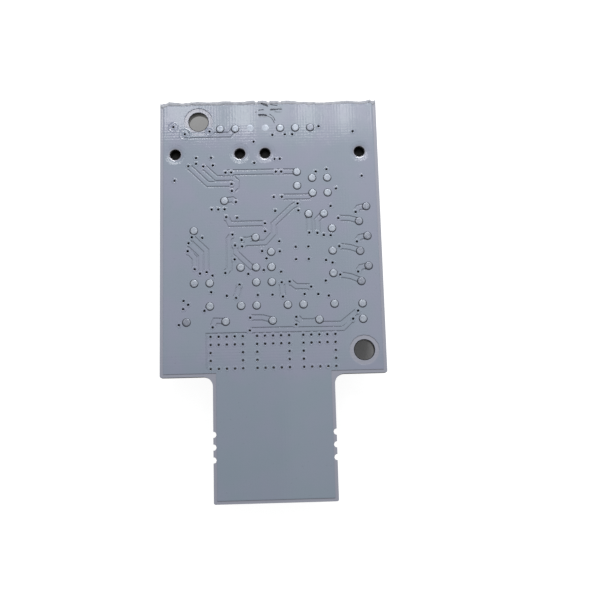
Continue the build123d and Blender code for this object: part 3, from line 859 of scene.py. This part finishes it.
# scrapes where the break-off tab was cut free: (x, y), (x, y), width in mm from the tab's corner
scrapeLook = {
    "dark": (
        ((-1.67, -2.45), (-0.27, -2.47), 0.34),
        ((-1.66, -1.6), (-0.81, -1.5), 0.22),
        ((-2.26, -1.95), (-2.0, -1.9), 0.16),
        ((-1.25, -0.3), (-0.1, -0.72), 0.24),
        ((-0.85, -0.62), (0.0, -1.0), 0.16),
        ((0.4, -0.62), (1.5, -0.8), 0.18),
        ((0.3, -1.6), (1.31, -1.5), 0.26),
        ((1.31, -1.5), (2.34, -1.45), 0.22),
        ((1.1, -1.95), (2.2, -1.98), 0.1),
        ((-0.3, -2.6), (0.5, -3.0), 0.12),
        ((0.5, -3.0), (1.0, -3.9), 0.14),
        ((0.2, -2.3), (0.8, -2.75), 0.12),
        ((0.8, -2.75), (1.12, -3.5), 0.12),
    ),
    "pale": (
        ((-1.6, -2.72), (-0.3, -2.74), 0.16),
        ((0.4, -1.3), (2.2, -1.25), 0.14),
    ),
    "darkTone": (66, 70, 82),
    "paleTone": (186, 190, 200),
}


def scrapeFinish(name, colour):
    made = Finish(name)
    grit = made.cloud(0.15, 4)
    dark = tuple(value * 0.8 for value in colour)
    shade = made.mix(made.between(grit, 0.35, 0.65), tone(*colour), tone(*dark))
    return made.finish(shade, made.between(grit, 0.3, 0.7, 0.5, 0.8), 0.0, made.bump(grit, 0.01))


def scrapes(look):
    corner = Vector((0, boardHigh.y, backZ))
    for name, height in (("dark", 0.01), ("pale", 0.02)):
        mesh = bmesh.new()
        for start, end, width in look[name]:
            first, last = Vector((*start, 0)), Vector((*end, 0))
            along = last - first
            pieces = max(2, round(along.length / 0.45))
            for index in range(pieces):
                middle = first + along * ((index + 0.5) / pieces)
                place = corner + middle * mm
                place += Vector((0, random.uniform(-0.15, 0.15) * width * mm, 0))
                turn = math.atan2(along.y, along.x) + random.uniform(-0.15, 0.15)
                length = along.length / pieces * random.uniform(1.3, 1.7)
                sliver(mesh, place, length, width * random.uniform(0.7, 1.1), height, turn)
        asPiece(mesh, name + "Scrapes", scrapeFinish(name + "Scrape", look[name + "Tone"]))


scrapes(scrapeLook)
print("scrapes made")


# joints: solder drawn up round each terminal, on its land on the component side
jointLook = {
    "spread": 0.2,  # mm, how far the solder runs out past the terminal
    "land": 0.28,
    "landHeight": 0.02,
    "climb": 0.5,  # share of the terminal's height
    "highest": 0.45,
    "leadClimb": 0.13,
    "rows": ((1.0, 0.0), (0.55, 0.22), (0.2, 0.6), (0.02, 1.0)),  # share of the spread, share of the climb
    "flatSheets": ("_leads", "_feet", "_clips"),
}


def footprints(name):
    # (low, high) of each place where a node stands on the component side, with its height above it
    mesh = merged(name)
    found = []
    for island in islands(mesh):
        standing = [vert.co for vert in island if abs(vert.co.z - componentZ) < 0.05 * mm]
        if len(standing) > 2:
            low, high = reach(standing, 2)
            found.append((low, high, componentZ - min(vert.co.z for vert in island)))
    mesh.free()
    return sorted(found, key=lambda foot: tuple(foot[0]))


def addSkirt(mesh, low, high, rows, closed=False):
    # a chamfered rectangle round low and high, stepped through rows of (spread, depth) in metres
    middle, half = (low + high) / 2, (high - low) / 2
    loop = []
    for spread, depth in rows:
        x, y = half.x + spread, half.y + spread
        cut = min(x, y) * 0.25 + spread * 0.3
        corners = ((x, y - cut), (x - cut, y), (cut - x, y), (-x, y - cut),
                   (-x, cut - y), (cut - x, -y), (x - cut, -y), (x, cut - y))
        verts = [mesh.verts.new((middle.x + px, middle.y + py, componentZ - depth)) for px, py in corners]
        ring = [mesh.edges.new((first, second)) for first, second in zip(verts, verts[1:] + verts[:1])]
        if loop:
            bmesh.ops.bridge_loops(mesh, edges=loop + ring)
        loop = ring
    if closed:
        bmesh.ops.contextual_create(mesh, geom=loop)


def solderJoints(look):
    joints, lands = bmesh.new(), bmesh.new()
    feet = []
    ends = ("_leads", "_feet", "_clips", "_terminals", "_end_caps", "_contacts")
    for name in sorted(name for name in nodes if name.endswith(ends)):
        for low, high, height in footprints(name):
            climb = min(look["highest"] * mm, look["climb"] * height)
            if name.endswith(look["flatSheets"]):
                climb = look["leadClimb"] * mm
            rows = [(share * look["spread"] * mm, rise * climb) for share, rise in look["rows"]]
            addSkirt(joints, low, high, rows)
            land, thick = look["land"] * mm, look["landHeight"] * mm
            addSkirt(lands, low, high, [(land + thick, 0), (land, thick)], closed=True)
            feet.append((low + high) / 2)
    for mesh in (joints, lands):
        bmesh.ops.recalc_face_normals(mesh, faces=mesh.faces)
    asPiece(joints, "solderJoints", finishes["solder"])
    landTin = tinFinish("landTin", (196, 196, 200), 0.38, 0.3, 0.004)
    asPiece(lands, "tinnedLands", landTin, smooth=False)
    return feet


landPlaces = solderJoints(jointLook)
print("solder joints:", len(landPlaces))


# tracks of the component side: raised ribs of mask over copper, from each via to the land it serves
trackLook = {"width": 0.3, "height": 0.03, "farthest": 4.2, "nearest": 0.7, "edge": 0.02, "steps": 2}


def rib(mesh, start, end, width, height):
    along = end - start
    if along.length < clean:
        return
    made = bmesh.ops.create_cube(mesh, size=1)["verts"]
    turn = Matrix.Rotation(math.atan2(along.y, along.x), 4, "Z")
    middle = (start + end) / 2
    place = Matrix.Translation((middle.x, middle.y, componentZ))
    size = Matrix.Diagonal((along.length + width * 0.4, width, height * 2, 1))
    bmesh.ops.transform(mesh, matrix=place @ turn @ size, verts=made)


def frontTracks(look):
    mesh = bmesh.new()
    starts = [Vector((centre.x, centre.y)) for centre, radius in vias]
    for end in landPlaces:
        # one track for each land, from the nearest via that no other land has taken
        start = min(starts, key=lambda place: (place - end).length)
        apart = end - start
        if not look["nearest"] * mm < apart.length < look["farthest"] * mm:
            continue
        starts.remove(start)
        # along an axis first, then at 45 degrees
        slant = min(abs(apart.x), abs(apart.y))
        bend = end - Vector((math.copysign(slant, apart.x), math.copysign(slant, apart.y)))
        width, height = look["width"] * mm, look["height"] * mm
        rib(mesh, start, bend, width, height)
        rib(mesh, bend, end, width, height)
    bmesh.ops.recalc_face_normals(mesh, faces=mesh.faces)
    tracks = asPiece(mesh, "frontTracks", finishes["mask_board"], smooth=False)
    soft = tracks.modifiers.new("soft", "BEVEL")
    soft.width = look["edge"] * mm
    soft.segments = look["steps"]


frontTracks(trackLook)


# marks of the packages: a dot at the first pin, a band at the cathode
markLook = {"dotRadius": 0.32, "dotInset": 0.75, "bandWidth": 0.42, "bandInset": 0.45, "proud": 0.006}


def paintFinish(name, colour):
    made = Finish(name)
    grit = made.between(made.cloud(0.1, 3), 0.35, 0.7)
    shade = made.mix(grit, tone(*colour), tone(*(value * 0.82 for value in colour)))
    return made.finish(shade, made.between(grit, 0, 1, 0.5, 0.7), 0.0, made.bump(grit, 0.002))


def packageMarks(look):
    proud = look["proud"]
    dots = []
    over = Matrix.Rotation(math.pi, 4, "X")
    for name in ("control_ic_body", "driver_ic_body"):
        low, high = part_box(name)
        inset = look["dotInset"] * mm
        dots.append(Matrix.Translation((low.x + inset, high.y - inset, low.z)) @ over)
    radius = look["dotRadius"]
    profile = [(0, proud * 0.4), (radius * 0.7, proud * 0.4), (radius * 0.85, proud), (radius, -0.01)]
    discs = repeated(turned(profile, 20), dots)
    asPiece(discs, "firstPinDots", paintFinish("dotMould", (58, 58, 60)))
    mesh = bmesh.new()
    for name in ("polarity_diode_body", "surge_diode_body"):
        for low, high in solidBoxes(name):
            size = high - low
            axis = 0 if size.x > size.y else 1
            middle = (low + high) / 2
            middle.z = low.z
            middle[axis] = low[axis] + (look["bandInset"] + look["bandWidth"] / 2) * mm
            band = Vector((size.x * 0.9, size.y * 0.9, 2 * proud * mm))
            band[axis] = look["bandWidth"] * mm
            made = bmesh.ops.create_cube(mesh, size=1)["verts"]
            shape = Matrix.Translation(middle) @ Matrix.Diagonal((*band, 1))
            bmesh.ops.transform(mesh, matrix=shape, verts=made)
    asPiece(mesh, "cathodeBands", paintFinish("bandPaint", (186, 188, 190)), smooth=False)


packageMarks(markLook)
print("component side dressed")


# studio: a soft key behind the connectors, a ceiling that the glossy mask mirrors, a white floor
studio = {
    "keyPlace": (28, 240, 200),  # mm
    "keySize": 130,
    "keyWatts": 0.58,
    "worldLevel": 0.31,
    "mirrored": 0.12,
    "floorSize": 3000,
    "floorTone": 0.38,
    "floorGlow": 0.9,
    "underGlow": 0.02,
    "shadeBottom": -12.2,  # y in mm of the patch of floor that doesn't glow
    "shadeTop": 1.5,  # mm past the torn edge
    "shadeFade": (0.4, 0.3, 0.5),  # mm, at the sides, the bottom and the top
}
# panels overhead: (left, right, near, far, height) in mm, radiance
panels = {
    "ceilingLeft": (-150, 10, 30, 182, 409, 0.5),
    "ceilingMiddle": (10, 46, 30, 182, 409, 0.58),
    "ceilingRight": (46, 150, 30, 182, 409, 0.8),
    "nearLeft": (-150, 4, -90, 30, 409, 0.17),
    "nearRight": (4, 150, -90, 30, 409, 0.4),
    "strip": (-110, 110, 182, 240, 409, 1.25),
    "glareOne": (-82, -44, 184, 242, 405, 3.6),
    "glareTwo": (-30, -16, 184, 242, 405, 4.4),
    "glareThree": (-12, 12, 184, 242, 405, 1.2),
    "glareFour": (18.3, 29, 184, 242, 405, 4.2),
    "glareFive": (39, 50.4, 184, 242, 405, 4.8),
    "glareSix": (61, 65, 184, 242, 405, 4.2),
}


def addLamp(name, place, size, watts, aim):
    light = bpy.data.lights.new(name, "AREA")
    light.shape = "RECTANGLE"
    light.size, light.size_y = size[0] * mm, size[1] * mm
    light.energy = watts
    lamp = bpy.data.objects.new(name, light)
    bpy.context.collection.objects.link(lamp)
    lamp.location = Vector(place) * mm
    lamp.rotation_euler = (Vector(aim) * mm - lamp.location).to_track_quat("-Z", "Y").to_euler()
    lamp.visible_camera = False


def addPanel(name, left, right, near, far, height, radiance):
    middle = ((left + right) / 2, (near + far) / 2)
    size = (right - left, far - near)
    watts = radiance * math.pi * size[0] * size[1] * mm * mm
    addLamp(name, (*middle, height), size, watts, (*middle, 0))


def addRoom(setup):
    world = bpy.data.worlds.new("studio")
    bpy.context.scene.world = world
    world.use_nodes = True
    tree = world.node_tree
    tree.nodes.clear()
    out = tree.nodes.new("ShaderNodeOutputWorld")
    background = tree.nodes.new("ShaderNodeBackground")
    path = tree.nodes.new("ShaderNodeLightPath")
    level = setup["worldLevel"]
    for ray, seen in (("Is Glossy Ray", setup["mirrored"]), ("Is Camera Ray", 1)):
        step = tree.nodes.new("ShaderNodeMix")
        tree.links.new(path.outputs[ray], step.inputs[0])
        if isinstance(level, bpy.types.NodeSocket):
            tree.links.new(level, step.inputs[2])
        else:
            step.inputs[2].default_value = level
        step.inputs[3].default_value = seen
        level = step.outputs[0]
    tree.links.new(level, background.inputs["Strength"])
    background.inputs["Color"].default_value = (1, 1, 1, 1)
    tree.links.new(background.outputs[0], out.inputs["Surface"])


def addFloor(setup):
    mesh = bmesh.new()
    bmesh.ops.create_grid(mesh, x_segments=1, y_segments=1, size=setup["floorSize"] * mm / 2)
    data = bpy.data.meshes.new("floor")
    mesh.to_mesh(data)
    mesh.free()
    floor = bpy.data.objects.new("floor", data)
    bpy.context.collection.objects.link(floor)
    made = Finish("floorWhite")
    shader = made.shader
    shader.inputs["Base Color"].default_value = (*[setup["floorTone"]] * 3, 1)
    shader.inputs["Roughness"].default_value = 0.9
    shader.inputs["Specular IOR Level"].default_value = 0.1
    # the floor shows white to the camera, but not in the shade right under the board
    parts = made.split(made.place)
    middle = (boardLow + boardHigh) / 2
    bottom = setup["shadeBottom"] * mm
    top = boardHigh.y + setup["shadeTop"] * mm
    sideFade, bottomFade, topFade = (fade * mm for fade in setup["shadeFade"])
    sides = made.math("ABSOLUTE", made.math("SUBTRACT", parts["X"], middle.x))
    under = made.between(sides, boardHigh.x - sideFade, boardHigh.x, 1, 0)
    under = made.math("MULTIPLY", under, made.between(parts["Y"], bottom - bottomFade, bottom))
    under = made.math("MULTIPLY", under, made.between(parts["Y"], top, top + topFade, 1, 0))
    glow = made.between(under, 0, 1, setup["floorGlow"], setup["underGlow"])
    path = made.tree.nodes.new("ShaderNodeLightPath")
    glow = made.math("MULTIPLY", glow, path.outputs["Is Camera Ray"])
    shader.inputs["Emission Color"].default_value = (1, 1, 1, 1)
    made.join(glow, shader.inputs["Emission Strength"])
    data.materials.append(made.material)


addRoom(studio)
addFloor(studio)
addLamp("key", studio["keyPlace"], (studio["keySize"], studio["keySize"]), studio["keyWatts"], (0, 0, 0))
for name, panel in panels.items():
    addPanel(name, *panel)
print("studio lit")
